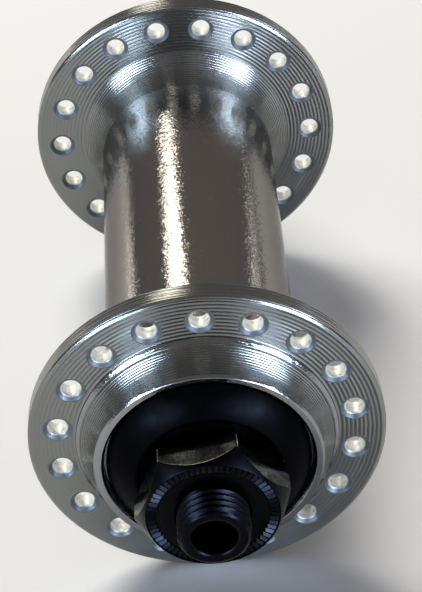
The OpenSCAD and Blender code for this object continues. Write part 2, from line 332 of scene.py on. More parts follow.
def thread_tree():
    """Cuts a right-hand screw thread into the outside of a shaft near its ends. Points on the shaft's
    outside move in to the groove, or to the end's chamfer where that lies deeper."""
    tree, start, end = new_tree("screw_thread", [
        ("Crest Radius", "Float"), ("Depth", "Float"), ("Pitch", "Float"), ("Starts At", "Float"),
        ("Ends At", "Float"), ("End Chamfer", "Float"), ("Finish", "Material")])
    give = start.outputs
    spot = tree.nodes.new("GeometryNodeInputPosition")
    split = tree.nodes.new("ShaderNodeSeparateXYZ")
    link(tree, spot.outputs[0], split.inputs[0])
    x, y, z = split.outputs
    radius = from_axle(tree, x, z)
    turns = calc(tree, "DIVIDE", calc(tree, "ARCTAN2", x, z), math.tau)
    along = calc(tree, "DIVIDE", y, give["Pitch"])
    wave = calc(tree, "PINGPONG", calc(tree, "SUBTRACT", along, turns), 0.5)
    flank = clamped(calc(tree, "MULTIPLY_ADD", wave, FLANK_SLOPE, -CREST_FLAT))
    groove = calc(tree, "SUBTRACT", give["Crest Radius"], calc(tree, "MULTIPLY", flank, give["Depth"]))
    reach = calc(tree, "ABSOLUTE", y)
    past = calc(tree, "SUBTRACT", reach, calc(tree, "SUBTRACT", give["Ends At"], give["End Chamfer"]))
    cone = calc(tree, "SUBTRACT", give["Crest Radius"], calc(tree, "MAXIMUM", past, 0.0))
    cut = calc(tree, "MINIMUM", groove, cone)
    ratio = calc(tree, "DIVIDE", cut, radius)
    made = tree.nodes.new("ShaderNodeCombineXYZ")
    link(tree, calc(tree, "MULTIPLY", x, ratio), made.inputs[0])
    link(tree, y, made.inputs[1])
    link(tree, calc(tree, "MULTIPLY", z, ratio), made.inputs[2])
    root = calc(tree, "MULTIPLY", give["Depth"], BELOW_ROOT)
    outside = calc(tree, "GREATER_THAN", radius, calc(tree, "SUBTRACT", give["Crest Radius"], root))
    inside_run = calc(tree, "GREATER_THAN", reach, give["Starts At"])
    both = calc(tree, "MULTIPLY", outside, inside_run)
    move = tree.nodes.new("GeometryNodeSetPosition")
    real = tree.nodes.new("GeometryNodeRealizeInstances")
    finish = tree.nodes.new("GeometryNodeSetMaterial")
    link(tree, give["Geometry"], move.inputs["Geometry"])
    link(tree, both, move.inputs["Selection"])
    link(tree, made.outputs[0], move.inputs["Position"])
    link(tree, move.outputs[0], real.inputs[0])
    link(tree, real.outputs[0], finish.inputs["Geometry"])
    link(tree, give["Finish"], finish.inputs["Material"])
    link(tree, finish.outputs[0], end.inputs[0])
    return tree


def grown(name, mesh, tree, **values):
    """Runs a tree on a mesh and returns the result as a plain mesh. Underscores stand for spaces."""
    seed = piece_of(name + "_seed", mesh)
    run = seed.modifiers.new("nodes", "NODES")
    run.node_group = tree
    for item in tree.interface.items_tree:
        if item.in_out == "INPUT" and item.name.replace(" ", "_") in values:
            run[item.identifier] = values[item.name.replace(" ", "_")]
    bpy.context.view_layer.update()
    view = bpy.context.evaluated_depsgraph_get()
    plain = bpy.data.meshes.new_from_object(seed.evaluated_get(view), preserve_all_data_layers=True,
                                            depsgraph=view)
    seed.modifiers.remove(run)
    bpy.data.objects.remove(seed)
    plain.name = name
    return plain


def joined(name, meshes):
    """One mesh from several, keeping their materials."""
    finishes = []
    work = bmesh.new()
    for mesh in meshes:
        shift = []
        for finish in mesh.materials:
            if finish not in finishes:
                finishes.append(finish)
            shift.append(finishes.index(finish))
        old = len(work.faces)
        work.from_mesh(mesh)
        work.faces.ensure_lookup_table()
        for face in work.faces[old:]:
            face.material_index = shift[face.material_index] if shift else 0
    mesh = bpy.data.meshes.new(name)
    work.to_mesh(mesh)
    work.free()
    for finish in finishes:
        mesh.materials.append(finish)
    return mesh


# Shader groups. RING_VARIETY is how fast the depth changes from one lathe ring to the next,
# LINE_STRETCH a drawn line's width as a share of its length.
RING_VARIETY = 0.37
LINE_STRETCH = 0.06


def new_group(name, inputs, outputs):
    """A shader node group. Inputs are (name, default); outputs are names of plain values."""
    tree = bpy.data.node_groups.new(name, "ShaderNodeTree")
    for label, value in inputs:
        socket = tree.interface.new_socket(label, in_out="INPUT", socket_type="NodeSocketFloat")
        socket.default_value = value
    for label in outputs:
        tree.interface.new_socket(label, in_out="OUTPUT", socket_type="NodeSocketFloat")
    return tree, tree.nodes.new("NodeGroupInput"), tree.nodes.new("NodeGroupOutput")


def object_point(tree):
    """The shaded point's place in the hub's own frame, as one vector."""
    return tree.nodes.new("ShaderNodeTexCoord").outputs["Object"]


def object_axes(tree):
    """The x, y and z of the shaded point; y runs along the axle."""
    split = tree.nodes.new("ShaderNodeSeparateXYZ")
    link(tree, object_point(tree), split.inputs[0])
    return split.outputs


def per_size(tree, size):
    """A texture's scale, for marks of a size in millimetres."""
    return calc(tree, "DIVIDE", 1.0 / MM, size)


def noise(tree, vector, scale, detail, roughness):
    node = tree.nodes.new("ShaderNodeTexNoise")
    link(tree, vector, node.inputs["Vector"])
    link(tree, scale, node.inputs["Scale"])
    node.inputs["Detail"].default_value = detail
    node.inputs["Roughness"].default_value = roughness
    return node.outputs[0]


def lathe_rings_group():
    """Fine rings that the lathe tool left round the axle, uneven from ring to ring. They are counted
    along the profile: out over a flange's face, and down the neck and the boss."""
    tree, start, end = new_group("lathe_rings", [("Pitch", 0.5), ("Unevenness", 0.7)], ["Height", "Valley"])
    x, y, z = object_axes(tree)
    flange_middle = 0.5 * (FLANGE_IN + FLANGE_OUT) * MM
    off_flange = calc(tree, "ABSOLUTE", calc(tree, "SUBTRACT", calc(tree, "ABSOLUTE", y), flange_middle))
    run = calc(tree, "SUBTRACT", from_axle(tree, x, z), off_flange)
    count = calc(tree, "DIVIDE", calc(tree, "MULTIPLY", run, 1.0 / MM), start.outputs["Pitch"])
    swing = calc(tree, "SINE", calc(tree, "MULTIPLY", count, math.tau))
    wave = calc(tree, "MULTIPLY_ADD", swing, 0.5, 0.5)
    varied = tree.nodes.new("ShaderNodeTexNoise")
    varied.noise_dimensions = "1D"
    link(tree, count, varied.inputs["W"])
    varied.inputs["Scale"].default_value = RING_VARIETY
    varied.inputs["Detail"].default_value = 2.0
    lost = calc(tree, "MULTIPLY", varied.outputs[0], start.outputs["Unevenness"])
    height = calc(tree, "MULTIPLY", wave, calc(tree, "SUBTRACT", 1.0, lost))
    link(tree, height, end.inputs["Height"])
    # Painted shade mask: 1 in the grooves between the rings.
    link(tree, calc(tree, "SUBTRACT", 1.0, height), end.inputs["Valley"])
    return tree


def metal_grain_group():
    """Fine grain of a metal or paint surface, and a slow change over it."""
    tree, start, end = new_group("metal_grain", [("Grain Size", 0.15), ("Patch Size", 6.0)],
                                 ["Height", "Patch"])
    point = object_point(tree)
    fine = noise(tree, point, per_size(tree, start.outputs["Grain Size"]), 2.0, 0.6)
    slow = noise(tree, point, per_size(tree, start.outputs["Patch Size"]), 3.0, 0.55)
    link(tree, fine, end.inputs["Height"])
    link(tree, slow, end.inputs["Patch"])
    return tree


def specks_group():
    """Small scattered specks: 1 in a speck and 0 elsewhere. Share is how many of the places that lie
    Spacing apart hold one, and Size is its radius as a share of Spacing."""
    tree, start, end = new_group("specks", [("Spacing", 3.0), ("Share", 0.2), ("Size", 0.08)], ["Speck"])
    cells = tree.nodes.new("ShaderNodeTexVoronoi")
    link(tree, object_point(tree), cells.inputs["Vector"])
    link(tree, per_size(tree, start.outputs["Spacing"]), cells.inputs["Scale"])
    pick = tree.nodes.new("ShaderNodeSeparateColor")
    link(tree, cells.outputs["Color"], pick.inputs[0])
    chosen = calc(tree, "LESS_THAN", pick.outputs[0], start.outputs["Share"])
    near = calc(tree, "LESS_THAN", cells.outputs["Distance"], start.outputs["Size"])
    link(tree, calc(tree, "MULTIPLY", chosen, near), end.inputs["Speck"])
    return tree


def drawn_lines_group():
    """Fine straight lines along the axle, as a drawn or broached bar has."""
    tree, start, end = new_group("drawn_lines", [("Line Width", 0.12)], ["Height"])
    stretch = tree.nodes.new("ShaderNodeMapping")
    stretch.inputs["Scale"].default_value = (1.0, LINE_STRETCH, 1.0)
    link(tree, object_point(tree), stretch.inputs["Vector"])
    lines = noise(tree, stretch.outputs[0], per_size(tree, start.outputs["Line Width"]), 2.0, 0.6)
    link(tree, lines, end.inputs["Height"])
    return tree


# Finishes. Most of a noise texture's values lie in NOISE_RANGE.
NOISE_RANGE = (0.3, 0.7)


class Finish:
    """A material under construction: a Principled BSDF with values, colour mixes and one bump."""

    def __init__(self, name, colour, roughness, metallic=1.0, **sockets):
        self.made = bpy.data.materials.new(name)
        self.made.use_nodes = True
        self.tree = self.made.node_tree
        self.surface = self.tree.nodes["Principled BSDF"]
        self.surface.inputs["Metallic"].default_value = metallic
        self.surface.inputs["Roughness"].default_value = roughness
        self.surface.inputs["Base Color"].default_value = (*colour, 1.0)
        for label, value in sockets.items():
            self.surface.inputs[label.replace("_", " ")].default_value = value
        self.colour = None
        self.base = colour

    def group(self, tree, **values):
        """Outputs of a node group with these values. Underscores stand for spaces."""
        node = self.tree.nodes.new("ShaderNodeGroup")
        node.node_tree = tree
        for label, value in values.items():
            node.inputs[label.replace("_", " ")].default_value = value
        return node.outputs

    def calc(self, operation, *values):
        """A Math node. Each value is a socket or a number."""
        return calc(self.tree, operation, *values)

    def reach(self):
        """How far out along the axle the shaded point lies, in metres."""
        x, y, z = object_axes(self.tree)
        return self.calc("ABSOLUTE", y)

    def tint(self, mask, colour, amount=1.0):
        """Mixes a colour in where the mask is 1."""
        mix = self.tree.nodes.new("ShaderNodeMix")
        mix.data_type = "RGBA"
        if self.colour is None:
            mix.inputs["A"].default_value = (*self.base, 1.0)
        else:
            link(self.tree, self.colour, mix.inputs["A"])
        mix.inputs["B"].default_value = (*colour, 1.0)
        link(self.tree, self.calc("MULTIPLY", mask, amount), mix.inputs["Factor"])
        self.colour = mix.outputs["Result"]
        link(self.tree, self.colour, self.surface.inputs["Base Color"])

    def rough(self, mask, low, high):
        """Roughness that is low at one end of NOISE_RANGE and high at the other, and runs on past both."""
        span = self.tree.nodes.new("ShaderNodeMapRange")
        for label, value in zip(("From Min", "From Max", "To Min", "To Max"), (*NOISE_RANGE, low, high)):
            span.inputs[label].default_value = value
        span.clamp = False
        link(self.tree, mask, span.inputs["Value"])
        link(self.tree, span.outputs["Result"], self.surface.inputs["Roughness"])

    def bump(self, heights, depth):
        """One bump from (height, share) pairs; depth in millimetres."""
        total = None
        for height, share in heights:
            total = (self.calc("MULTIPLY", height, share) if total is None
                     else self.calc("MULTIPLY_ADD", height, share, total))
        node = self.tree.nodes.new("ShaderNodeBump")
        node.inputs["Strength"].default_value = 1.0
        node.inputs["Distance"].default_value = depth * MM
        link(self.tree, total, node.inputs["Height"])
        link(self.tree, node.outputs["Normal"], self.surface.inputs["Normal"])

    def vector_calc(self, operation, *values):
        """A Vector Math node. Each value is a socket or a number."""
        node = self.tree.nodes.new("ShaderNodeVectorMath")
        node.operation = operation
        for socket, value in zip(node.inputs, values):
            if isinstance(value, (int, float)):
                socket.default_value = (value, value, value)
            else:
                link(self.tree, value, socket)
        return node.outputs[0]

    def flakes(self, size, tilt, where):
        """Tilts small patches where the mask is 1, most a little and a few as far as tilt. Comes after
        the bump."""
        cells = self.tree.nodes.new("ShaderNodeTexVoronoi")
        cells.inputs["Scale"].default_value = 1.0 / (size * MM)
        link(self.tree, object_point(self.tree), cells.inputs["Vector"])
        most = 0.5
        lean = self.vector_calc("SUBTRACT", cells.outputs["Color"], most)
        cubed = self.vector_calc("MULTIPLY", self.vector_calc("MULTIPLY", lean, lean), lean)
        masked = self.vector_calc("MULTIPLY", cubed, self.calc("MULTIPLY", where, tilt / most ** 3))
        flat = self.tree.nodes.new("ShaderNodeNewGeometry")
        leaned = self.vector_calc("NORMALIZE", self.vector_calc("ADD", masked, flat.outputs["Normal"]))
        bump = self.surface.inputs["Normal"].links[0].from_node
        link(self.tree, leaned, bump.inputs["Normal"])

    def round_the_axle(self):
        """Points the anisotropy round the axle, as turning marks run."""
        tangent = self.tree.nodes.new("ShaderNodeTangent")
        tangent.direction_type = "RADIAL"
        tangent.axis = "Y"
        link(self.tree, tangent.outputs[0], self.surface.inputs["Tangent"])


RINGS = lathe_rings_group()
GRAIN = metal_grain_group()
SPECKS = specks_group()
LINES = drawn_lines_group()


# Spacing of the turning marks on the flanges and on the bosses
RING_PITCH = 0.54
BOSS_RING_PITCH = 0.46
# The marks are weakest at the lower left, where MARKS_LEAST of them stays, and grow to full while
# x + z grows by MARKS_RUN. MARKS_AT_AXLE of that growth is done at the axle. The same share paints
# shade: the face is painted darker where the marks are weaker.
MARKS_LEAST = 0.3
MARKS_RUN = 24.0
MARKS_AT_AXLE = 0.65
# The barrel's gloss dulls over this last stretch
DULL_RUN = 4.0
# A drilled wall turns into its countersink this far under the flange's face, over this length
WALL_DEPTH = COUNTERSINK_DEPTH + 0.05
WALL_BLEND = 0.2
# The black of the nuts' flats ends over this length
FLATS_BRIGHT_BLEND = 0.35


def turned_aluminium():
    """The shell's turned faces, with rings of tool marks, painted shade in the rings' grooves and painted
    shade towards the lower left.
    """
    finish = Finish("turned_aluminium", (0.29, 0.295, 0.275), 0.24, Anisotropic=0.8,
                    Anisotropic_Rotation=0.25)
    rings = finish.group(RINGS, Unevenness=0.6)
    grain = finish.group(GRAIN, Grain_Size=0.12, Patch_Size=7.0)
    specks = finish.group(SPECKS, Spacing=2.6, Share=0.10, Size=0.055)
    on_boss = finish.calc("GREATER_THAN", finish.reach(), BOSS_FOOT * MM)
    pitch = finish.calc("MULTIPLY_ADD", on_boss, BOSS_RING_PITCH - RING_PITCH, RING_PITCH)
    link(finish.tree, pitch, rings["Height"].node.inputs["Pitch"])
    x, y, z = object_axes(finish.tree)
    per_run = 1.0 / (MARKS_RUN * MM)
    grown_by = clamped(finish.calc("MULTIPLY_ADD", finish.calc("ADD", x, z), per_run, MARKS_AT_AXLE))
    marks_kept_unshaded = finish.calc("MULTIPLY_ADD", grown_by, 1.0 - MARKS_LEAST, MARKS_LEAST)
    # Painted shade: the face is darker towards the lower left, where the marks are weaker.
    finish.tint(finish.calc("SUBTRACT", 1.0, marks_kept_unshaded), (0.2, 0.204, 0.19))
    # Painted shade: darker in the rings' grooves, less where the marks are weak.
    finish.tint(finish.calc("MULTIPLY", rings["Valley"], marks_kept_unshaded), (0.08, 0.08, 0.08), 0.4)
    finish.tint(on_boss, (0.215, 0.22, 0.21))
    finish.tint(specks["Speck"], (0.03, 0.03, 0.03), 0.9)
    finish.rough(grain["Patch"], 0.20, 0.28)
    depth = finish.calc("MULTIPLY_ADD", grain["Patch"], 1.0, 0.35)
    cut = finish.calc("MULTIPLY", rings["Height"], finish.calc("MULTIPLY", depth, marks_kept_unshaded))
    finish.bump([(cut, 1.0), (grain["Height"], 0.05)], 0.085)
    finish.round_the_axle()
    return finish.made


def satin_barrel():
    """The barrel's rolled gloss, also on the foot and the lip of each boss in a greyer tone."""
    finish = Finish("satin_barrel", (0.36, 0.345, 0.33), 0.1, Specular_Tint=(0.4, 0.4, 0.4, 1.0))
    coarse = finish.group(GRAIN, Grain_Size=0.55, Patch_Size=9.0)
    fine = finish.group(GRAIN, Grain_Size=0.22, Patch_Size=3.0)
    specks = finish.group(SPECKS, Spacing=0.9, Share=0.2, Size=0.18)
    finish.tint(fine["Height"], (0.29, 0.275, 0.265), 0.5)
    finish.tint(specks["Speck"], (0.45, 0.44, 0.42), 0.6)
    reach = finish.reach()
    finish.tint(finish.calc("GREATER_THAN", reach, FLANGE_IN * MM), (0.29, 0.295, 0.3))
    near_end = finish.calc("SUBTRACT", reach, (BARREL_END - DULL_RUN) * MM)
    duller = clamped(finish.calc("DIVIDE", near_end, DULL_RUN * MM))
    duller = finish.calc("MULTIPLY", duller, finish.calc("LESS_THAN", reach, FLANGE_IN * MM))
    finish.rough(finish.calc("MULTIPLY_ADD", duller, 1.2, coarse["Patch"]), 0.07, 0.12)
    finish.bump([(coarse["Height"], 1.0), (fine["Height"], 0.6)], 0.026)
    finish.flakes(0.3, 0.045, finish.calc("LESS_THAN", reach, BARREL_END * MM))
    return finish.made


def drilled_aluminium():
    """Walls of the spoke holes, bright where the drill left them, dark on the countersinks."""
    finish = Finish("drilled_aluminium", (0.93, 0.92, 0.84), 0.5, metallic=0.5)
    grain = finish.group(GRAIN, Grain_Size=0.25, Patch_Size=0.9)
    ragged = clamped(finish.calc("MULTIPLY_ADD", grain["Patch"], 4.0, -1.9))
    finish.tint(ragged, (0.32, 0.31, 0.28), 0.8)
    reach = finish.reach()
    past_wall = finish.calc("MAXIMUM",
                            finish.calc("SUBTRACT", reach, (FLANGE_OUT - WALL_DEPTH) * MM),
                            finish.calc("SUBTRACT", (FLANGE_IN + WALL_DEPTH) * MM, reach))
    on_cone = clamped(finish.calc("DIVIDE", past_wall, WALL_BLEND * MM))
    finish.tint(on_cone, (0.085, 0.092, 0.105), 0.95)
    finish.rough(grain["Patch"], 0.42, 0.6)
    finish.bump([(grain["Height"], 1.0), (grain["Patch"], 1.5)], 0.02)
    return finish.made


def satin_black_cap():
    """The dust caps' smooth black paint."""
    finish = Finish("satin_black_cap", (0.002, 0.002, 0.003), 0.3, metallic=0.0, IOR=1.075,
                    Specular_Tint=(0.75, 0.88, 1.0, 1.0))
    grain = finish.group(GRAIN, Grain_Size=0.2, Patch_Size=1.8)
    specks = finish.group(SPECKS, Spacing=1.8, Share=0.12, Size=0.05)
    finish.tint(specks["Speck"], (0.12, 0.12, 0.12), 0.8)
    finish.rough(grain["Patch"], 0.27, 0.42)
    finish.bump([(grain["Height"], 0.5), (grain["Patch"], 1.0)], 0.012)
    return finish.made


def grained(name, colour, roughness, patches, share, sizes, span, depth, metallic=1.0):
    """A plain finish: a share of a second colour in slow patches, which are as rough as span says, and
    a fine grain of some depth. Sizes are the grain's and the patches'."""
    finish = Finish(name, colour, roughness, metallic)
    grain = finish.group(GRAIN, Grain_Size=sizes[0], Patch_Size=sizes[1])
    finish.tint(grain["Patch"], patches, share)
    finish.rough(grain["Patch"], *span)
    finish.bump([(grain["Height"], 1.0)], depth)
    return finish


def drawn_black_flats():
    """Flats of the nuts, black towards the cap and brighter towards the nut's face."""
    finish = Finish("drawn_black_flats", (0.012, 0.012, 0.013), 0.1)
    lines = finish.group(LINES, Line_Width=0.14)
    grain = finish.group(GRAIN, Grain_Size=0.12, Patch_Size=2.0)
    past_black = finish.calc("SUBTRACT", finish.reach(), FLATS_BRIGHT_START * MM)
    # The flats turn from black to brighter past this place, towards the nut's face.
    towards_face_share = clamped(finish.calc("ADD", finish.calc("DIVIDE", past_black, FLATS_BRIGHT_BLEND * MM), grain["Patch"]))
    finish.tint(towards_face_share, (0.155, 0.15, 0.127))
    mottle = finish.group(GRAIN, Grain_Size=0.3)
    dark = clamped(finish.calc("MULTIPLY_ADD", mottle["Height"], 6.0, -2.7))
    finish.tint(finish.calc("MULTIPLY", dark, towards_face_share), (0.02, 0.02, 0.018), 0.8)
    finish.rough(lines["Height"], 0.06, 0.14)
    finish.bump([(lines["Height"], 1.0), (grain["Height"], 0.2)], 0.004)
    return finish.made


def ground_steel(name, colour, dark=None):
    """Hardened steel, ground bright; past dark (a place along the axle) it is nearly black."""
    finish = Finish(name, colour, 0.2)
    rings = finish.group(RINGS, Pitch=0.16, Unevenness=0.6)
    grain = finish.group(GRAIN, Grain_Size=0.1, Patch_Size=3.0)
    finish.tint(grain["Patch"], [0.75 * c for c in colour], 0.6)
    if dark is not None:
        finish.tint(finish.calc("GREATER_THAN", finish.reach(), dark * MM), (0.05, 0.05, 0.055))
    finish.rough(grain["Patch"], 0.14, 0.26)
    finish.bump([(rings["Height"], 0.6), (grain["Height"], 0.4)], 0.004)
    return finish.made


def pressed_sheet(name, colour):
    """Thin pressed steel sheet with a few dark specks."""
    finish = grained(name, colour, 0.3, patches=[0.7 * c for c in colour], share=0.5, sizes=(0.2, 2.5),
                     span=(0.22, 0.4), depth=0.006)
    specks = finish.group(SPECKS, Spacing=1.5, Share=0.15, Size=0.07)
    finish.tint(specks["Speck"], (0.1, 0.1, 0.1), 0.6)
    return finish.made


# The cones are nearly black outside this place
CONE_DARK = 39.0

TURNED = turned_aluminium()
SATIN = satin_barrel()
DRILLED = drilled_aluminium()
CAP = satin_black_cap()
OXIDE = grained("black_oxide", (0.005, 0.0053, 0.007), 0.28, patches=(0.0025, 0.0025, 0.0032), share=0.7,
                sizes=(0.16, 2.5), span=(0.2, 0.36), depth=0.006).made
FLATS = drawn_black_flats()
BEARING_STEEL = ground_steel("bearing_steel", (0.5, 0.5, 0.51))
CONE_STEEL = ground_steel("cone_steel", (0.5, 0.5, 0.51), dark=CONE_DARK)
BALL = grained("ball_steel", (0.75, 0.75, 0.76), 0.08, patches=(0.62, 0.62, 0.63), share=0.4,
               sizes=(0.3, 2.0), span=(0.05, 0.12), depth=0.0006).made
RETAINER = pressed_sheet("retainer_sheet", (0.55, 0.5, 0.38))
SHIELD = pressed_sheet("shield_sheet", (0.45, 0.47, 0.5))
RUBBER = grained("seal_rubber", (0.022, 0.022, 0.022), 0.62, patches=(0.035, 0.034, 0.033), share=0.7,
                 sizes=(0.12, 3.0), span=(0.5, 0.75), depth=0.012, metallic=0.0).made

AROUND = around_tree()
THREAD = thread_tree()


# Hub shell. A sector is one hole's share of the turn, HOLE_ZONE the radii of the belt that its hole
# cuts through. The satin finish covers the barrel to SATIN_END, a boss's foot, and its lip from SATIN_LIP.
SECTOR_STEPS = 16
ZONE_SIDE_STEPS = 6
HOLE_ZONE = (17.0, 21.0)
SATIN_END = 27.5
SATIN_LIP = 40.65


def shell_outlines():
    """Half the shell's outline in three runs: from the barrel's middle to the flange's inner face, the
    rim, and from the flange's outer face over the boss into the bore."""
    inner, outer = HOLE_ZONE
    neck = arc((BARREL_R, BARREL_END), (NECK_R, NECK_END), -NECK_ARC_R, 16)
    barrel = [(BARREL_R, 0.0, 0), (BARREL_R, BARREL_END - 0.6, 0)] + [(r, s, 0) for r, s in neck[:-1]]
    barrel += [(NECK_R, NECK_END, 0.1), (NECK_R, FLANGE_IN, 0.06), (inner, FLANGE_IN, 0)]

    rim = [(outer, FLANGE_IN, 0), (FLANGE_R - FLANGE_BEVEL, FLANGE_IN, 0.12),
           (FLANGE_R, FLANGE_IN + FLANGE_BEVEL, 0.12), (FLANGE_R, FLANGE_OUT - FLANGE_BEVEL, 0.12),
           (FLANGE_R - FLANGE_BEVEL, FLANGE_OUT, 0.12), (outer, FLANGE_OUT, 0)]

    lip = LIP_FACE - LIP_BEVEL
    boss = arc((BOSS_R, BOSS_START), (LIP_R, lip), -BOSS_ARC_R, 18)
    bore = [(inner, FLANGE_OUT, 0), (BOSS_R, FLANGE_OUT, 0.06), (BOSS_R, BOSS_START, 0.25)]
    bore += [(r, s, 0) for r, s in boss[1:-1]]
    bore += [(LIP_R, lip, 0.15), (LIP_R - LIP_BEVEL, LIP_FACE, 0.15),
             (LIP_BORE_R + LIP_BEVEL, LIP_FACE, 0.1), (LIP_BORE_R, lip, 0.1),
             (LIP_BORE_R, SHIELD_MOUTH, 0.05), (SHIELD_SEAT_R, SHIELD_MOUTH, 0),
             (SHIELD_SEAT_R, SHIELD_BACK, 0), (CUP_R, SHIELD_BACK, 0), (CUP_R, CUP_BACK, 0),
             (BARREL_BORE_R, CUP_BACK, 0.1), (BARREL_BORE_R, 0.0, 0)]
    return rounded(barrel), rounded(rim), rounded(bore)


def hole_outline():
    """A spoke hole's wall with its two countersinks, and a narrow flat round each."""
    flat = COUNTERSINK_R + 0.15
    return rounded([(flat, FLANGE_IN, 0), (COUNTERSINK_R, FLANGE_IN, 0.05),
                    (HOLE_R, FLANGE_IN + COUNTERSINK_DEPTH, 0.08),
                    (HOLE_R, FLANGE_OUT - COUNTERSINK_DEPTH, 0.08),
                    (COUNTERSINK_R, FLANGE_OUT, 0.05), (flat, FLANGE_OUT, 0)], hold=0.03)


def shell_sector(side):
    """One hole's share of half the shell: a slice round the axle with its countersunk spoke hole."""
    points, faces, finishes = [], [], []
    angles = [math.tau / HOLES * (j / SECTOR_STEPS - 0.5) for j in range(SECTOR_STEPS + 1)]

    def ring(r, s):
        """Points across the sector at a radius and a place."""
        points.extend(place(r, s, a, side) for a in angles)
        return list(range(len(points) - len(angles), len(points)))

    def band(one, two, finish="Finish"):
        """Faces between two rows of points, with the label of their finish."""
        for j in range(len(one) - 1):
            faces.append((one[j], one[j + 1], two[j + 1], two[j]))
            finishes.append(finish)

    runs = []
    for outline in shell_outlines():
        rings = [ring(r, s) for r, s in outline]
        for k in range(len(rings) - 1):
            r, s = outline[k + 1]
            on_barrel = not runs and s <= SATIN_END
            on_boss_foot = len(runs) == 2 and FLANGE_OUT < s < BOSS_FOOT and r > LIP_R
            on_lip = len(runs) == 2 and s > SATIN_LIP
            satin = on_barrel or on_boss_foot or on_lip
            band(rings[k], rings[k + 1], "Second Finish" if satin else "Finish")
        runs.append(rings)

    def zone_loop(inner, outer, s):
        """Points round one face of the hole's zone, from the inner arc up one side and back."""
        def side_points(angle):
            first, last = HOLE_ZONE
            found = []
            for k in range(1, ZONE_SIDE_STEPS):
                points.append(place(first + (last - first) * k / ZONE_SIDE_STEPS, s, angle, side))
                found.append(len(points) - 1)
            return found
        return inner + side_points(angles[-1]) + outer[::-1] + side_points(angles[0])[::-1]

    loops = [zone_loop(runs[0][-1], runs[1][0], FLANGE_IN), zone_loop(runs[2][0], runs[1][-1], FLANGE_OUT)]
    count = len(loops[0])
    first = points[loops[0][0]] / MM
    start = math.atan2(first.z - HOLE_CIRCLE_R, first.x)
    corner = points[loops[0][SECTOR_STEPS]] / MM
    way = 1 if math.atan2(corner.z - HOLE_CIRCLE_R, corner.x) > start else -1
    tube = []
    for radius, s in hole_outline():
        tube.append(list(range(len(points), len(points) + count)))
        for k in range(count):
            a = start + way * math.tau * k / count
            up = HOLE_CIRCLE_R + radius * math.sin(a)
            points.append(Vector((radius * math.cos(a), side * s, up)) * MM)
    for one, two in ((loops[0], tube[0]), (tube[-1], loops[1])):
        band(one + one[:1], two + two[:1])
    for one, two in zip(tube, tube[1:]):
        band(one + one[:1], two + two[:1], "Third Finish")

    mesh = bpy.data.meshes.new("shell_sector")
    mesh.from_pydata(points, [], faces)
    for label in ("Second Finish", "Third Finish"):
        mark = mesh.attributes.new(label, "BOOLEAN", "FACE")
        mark.data.foreach_set("value", [finish == label for finish in finishes])
    return mesh


def make_hub_shell():
    """The whole shell, two halves of HOLES sectors each."""
    seam = 1e-6
    halves = [grown("hub_shell_" + name, shell_sector(side), AROUND, Copies=HOLES,
                    First_Turn=math.radians(side * -HOLE_TURN[name]), Weld=seam, Finish=TURNED,
                    Second_Finish=SATIN, Third_Finish=DRILLED)
              for name, side in SIDES.items()]
    mesh = joined("hub_shell_dressed", halves)
    outward(mesh, seam)
    smooth(mesh)
    return piece_of("hub_shell_dressed", mesh)


# Axle
def make_axle():
    """The hollow axle, threaded where it stands out of the nuts and plain at the held radius inside."""
    end, gap = AXLE_END, 0.05
    half = [(SKEWER_R, 0.0), (SKEWER_R, end - MOUTH_BEVEL), (SKEWER_R + MOUTH_BEVEL, end), (3.5, end)]
    half += spaced((AXLE_R - AXLE_CHAMFER, end), (AXLE_R, end - AXLE_CHAMFER), gap)
    half += spaced((AXLE_R, end - AXLE_CHAMFER - gap), (AXLE_R, THREAD_START), gap)
    half += [(HELD_R, THREAD_START), (HELD_R, 0.0)]
    outline = half + [(r, -s) for r, s in half[-2:0:-1]]
    mesh = turned("axle_blank", outline, 1, 128)
    mesh = grown("axle_dressed", mesh, THREAD, Crest_Radius=AXLE_R * MM, Depth=THREAD_DEPTH * MM,
                 Pitch=THREAD_PITCH * MM, Starts_At=(THREAD_START + 0.1) * MM, Ends_At=end * MM,
                 End_Chamfer=AXLE_CHAMFER * MM, Finish=OXIDE)
    outward(mesh)
    smooth(mesh, 50)
    return piece_of("axle_dressed", mesh)


# Lock nut: a hexagon with rounded corners, chamfered at both ends, with a toothed ring on its face.
# SIXTH is a sixth of a turn.
TEETH = 64
TOOTH_SHARE = 0.97
TOOTH_RING = (6.95, 8.12)
TOOTH_FOOT = 49.74
TOOTH_SUNK = 0.1
COLLAR_R = 6.8
COLLAR_FACE = 49.85
SIXTH = math.pi / 3


def hexagon_reach(angle):
    """Distance from the axle to the nut's side at an angle from the middle of a flat."""
    flat = NUT_FLATS / 2
    to_corner = SIXTH / 2 - abs((angle + SIXTH / 2) % SIXTH - SIXTH / 2)
    middle = (flat - NUT_CORNER_R) / math.cos(SIXTH / 2)
    if to_corner < math.atan2(NUT_CORNER_R / 2, middle + NUT_CORNER_R * math.cos(SIXTH / 2)):
        aside = middle * math.sin(to_corner)
        return middle * math.cos(to_corner) + math.sqrt(NUT_CORNER_R ** 2 - aside ** 2)
    return flat / math.cos(SIXTH / 2 - to_corner)


def nut_outline(angle):
    """The nut's outline at an angle from the middle of a flat: back, side, front, tooth groove, collar."""
    reach = hexagon_reach(angle)
    past = reach - NUT_FACE_R
    return rounded([
        (NUT_BORE_R, NUT_BACK, 0.05), (NUT_FACE_R, NUT_BACK, 0.06),
        (reach, NUT_BACK + past * NUT_BACK_SLOPE, 0.08), (reach, NUT_FACE - past * NUT_FRONT_SLOPE, 0.08),
        (NUT_FACE_R, NUT_FACE, 0.06), (NUT_FACE_R - 0.08, NUT_FACE, 0.03),
        (NUT_FACE_R - 0.1, TOOTH_FOOT, 0.03), (COLLAR_R + 0.05, TOOTH_FOOT, 0.05),
        (COLLAR_R, COLLAR_FACE, 0.04), (NUT_MOUTH_R, COLLAR_FACE, 0.06),
        (NUT_BORE_R, COLLAR_FACE - NUT_MOUTH_R + NUT_BORE_R, 0.05)], closed=True, steps=2, hold=0.03)


